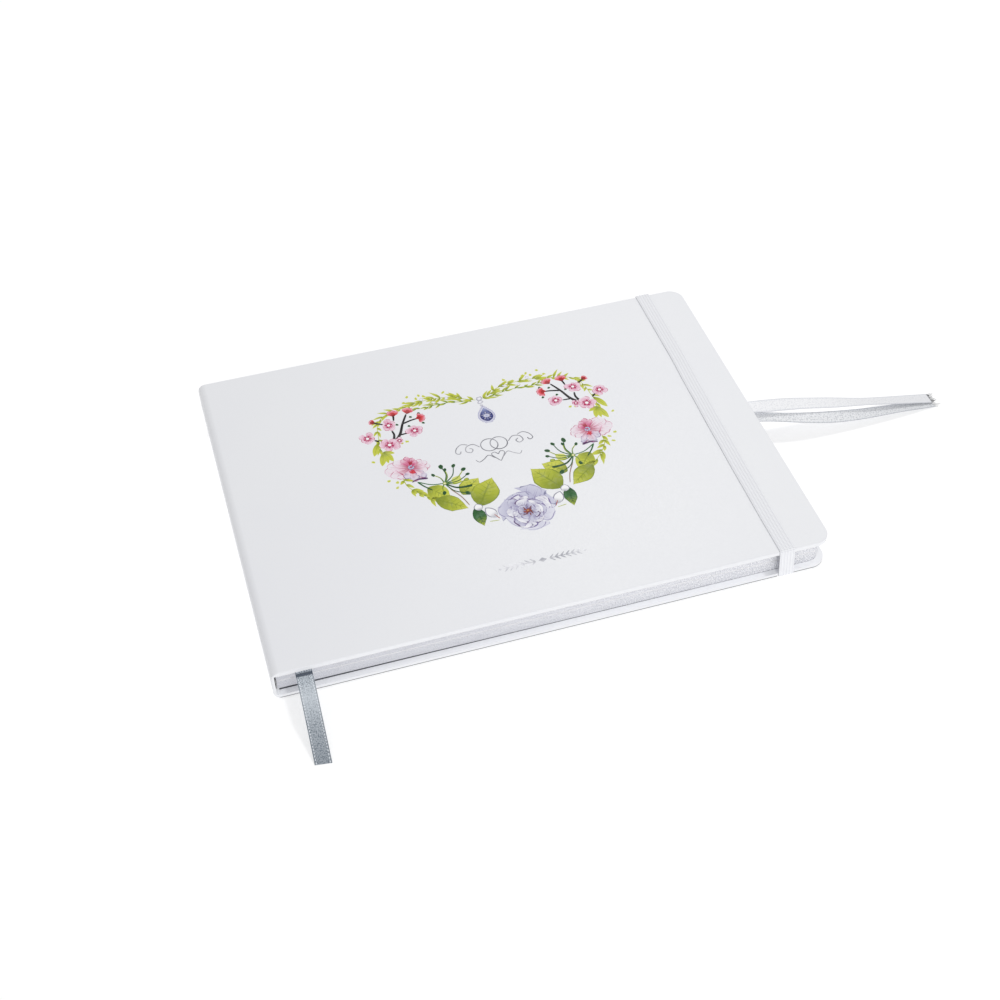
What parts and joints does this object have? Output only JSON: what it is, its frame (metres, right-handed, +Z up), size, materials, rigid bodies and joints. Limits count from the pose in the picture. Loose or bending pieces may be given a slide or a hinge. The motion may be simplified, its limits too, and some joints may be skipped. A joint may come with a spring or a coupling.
{
  "type": "guest book",
  "caption": "Landscape hardcover guest book: sewn pages in a case with a rounded spine, hinged cover and turning leaves, elastic closing band, ribbon markers.",
  "frame": {"origin": "middle of the closed book's underside, measured without the ribbons", "axes": "+X from the spine to the fore edge, +Y towards the head, +Z up out of the front cover"},
  "size_m": [0.3964, 0.2526, 0.02],
  "materials": {
    "cover_paper": "smooth satin-laminated white wrapping paper",
    "grey_board": "raw grey binder's board",
    "endpaper": "matt uncoated white paper",
    "silvered_pages": "matt white paper with silver-coloured edges",
    "gauze": "open cotton weave",
    "thread": "twisted linen thread",
    "elastic": "ribbed white woven elastic",
    "ribbon_blue_grey": "blue-grey satin ribbon with selvedges",
    "ribbon_silver": "thin silver-grey satin ribbon"
  },
  "bodies": {
    "root": {"case_wrap": "cover_paper", "back_board": "grey_board", "spine_card": "grey_board", "back_pastedown": "endpaper", "back_flyleaf": "endpaper", "section_1": "silvered_pages", "section_2": "silvered_pages", "section_3": "silvered_pages", "section_4": "silvered_pages", "section_5": "silvered_pages", "section_6": "silvered_pages", "section_7": "silvered_pages", "spine_mull": "gauze", "sewing_tape_head": "gauze", "sewing_tape_middle": "gauze", "sewing_tape_tail": "gauze", "sewing_thread": "thread", "elastic_anchor_head": "elastic", "elastic_anchor_tail": "elastic", "bookmark_ribbon": "ribbon_blue_grey", "marker_ribbon_high": "ribbon_silver", "marker_ribbon_low": "ribbon_silver"},
    "front_cover": {"front_wrap": "cover_paper", "front_board": "grey_board", "front_pastedown": "endpaper"},
    "front_flyleaf_body": {"front_flyleaf": "endpaper"},
    "leaf_1_body": {"leaf_1": "silvered_pages"},
    "leaf_2_body": {"leaf_2": "silvered_pages"},
    "leaf_3_body": {"leaf_3": "silvered_pages"},
    "leaf_4_body": {"leaf_4": "silvered_pages"},
    "leaf_5_body": {"leaf_5": "silvered_pages"},
    "elastic_band": {"elastic_front_run": "elastic", "elastic_run_head": "elastic", "elastic_run_tail": "elastic"}
  },
  "joints": [
    {"name": "cover_hinge", "type": "hinge", "parent": "root", "child": "front_cover", "pos_m": [-0.143, 0, 0.0165], "axis": [0, -1, 0], "range_deg": [0, 182.5]},
    {"name": "front_flyleaf_turn", "type": "hinge", "parent": "root", "child": "front_flyleaf_body", "pos_m": [-0.141, 0, 0.0165], "axis": [0, -1, 0], "range_deg": [0, 179.5]},
    {"name": "leaf_1_turn", "type": "hinge", "parent": "root", "child": "leaf_1_body", "pos_m": [-0.141, 0, 0.0165], "axis": [0, -1, 0], "range_deg": [0, 178.7]},
    {"name": "leaf_2_turn", "type": "hinge", "parent": "root", "child": "leaf_2_body", "pos_m": [-0.141, 0, 0.0165], "axis": [0, -1, 0], "range_deg": [0, 177.8]},
    {"name": "leaf_3_turn", "type": "hinge", "parent": "root", "child": "leaf_3_body", "pos_m": [-0.141, 0, 0.0165], "axis": [0, -1, 0], "range_deg": [0, 176.8]},
    {"name": "leaf_4_turn", "type": "hinge", "parent": "root", "child": "leaf_4_body", "pos_m": [-0.141, 0, 0.0165], "axis": [0, -1, 0], "range_deg": [0, 175.6]},
    {"name": "leaf_5_turn", "type": "hinge", "parent": "root", "child": "leaf_5_body", "pos_m": [-0.141, 0, 0.0165], "axis": [0, -1, 0], "range_deg": [0, 174.1]},
    {"name": "elastic_swing", "type": "hinge", "parent": "root", "child": "elastic_band", "pos_m": [0.12768, 0, -0.00387], "axis": [0, 1, 0], "range_deg": [0, 90], "deforming": ["elastic_front_run", "elastic_run_head", "elastic_run_tail"]}
  ],
  "couplings": [
    {"joint": "front_flyleaf_turn", "follows": "cover_hinge", "ratio": 0.98301},
    {"joint": "leaf_1_turn", "follows": "cover_hinge", "ratio": 0.97863},
    {"joint": "leaf_2_turn", "follows": "cover_hinge", "ratio": 0.9737},
    {"joint": "leaf_3_turn", "follows": "cover_hinge", "ratio": 0.96822},
    {"joint": "leaf_4_turn", "follows": "cover_hinge", "ratio": 0.96164},
    {"joint": "leaf_5_turn", "follows": "cover_hinge", "ratio": 0.95342},
    {"joint": "elastic_swing", "follows": "cover_hinge", "ratio": 0.4931}
  ]
}
